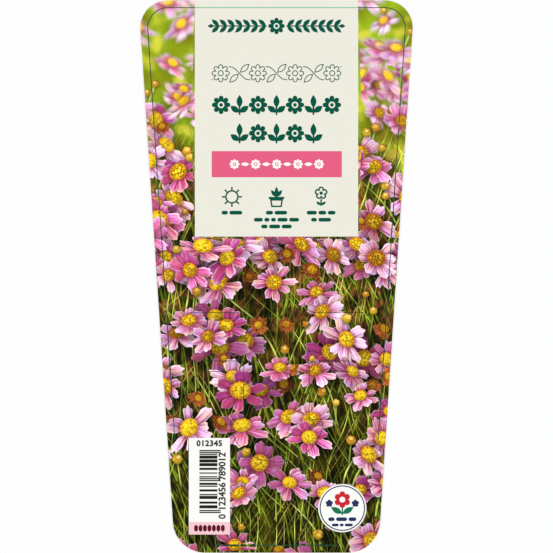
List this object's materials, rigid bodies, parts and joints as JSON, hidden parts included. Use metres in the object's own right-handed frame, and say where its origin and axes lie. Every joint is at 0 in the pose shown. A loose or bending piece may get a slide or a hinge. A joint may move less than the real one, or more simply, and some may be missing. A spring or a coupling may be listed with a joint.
{
  "type": "plant label",
  "caption": "Tapered die-cut plastic plant label with rounded corners, a printed front and a tongue that slips over the rim of a flowerpot.",
  "frame": {"origin": "centre of the back face, which the label lies on", "axes": "+X to the right across the printed front, +Y up the front from the narrow end to the wide end, +Z out of the front"},
  "size_m": [0.1084, 0.22, 0.0005],
  "materials": {
    "printed_sheet": "white plastic sheet with a satin varnish over a printed front"
  },
  "bodies": {
    "root": {"label_card": "printed_sheet"}
  },
  "joints": []
}
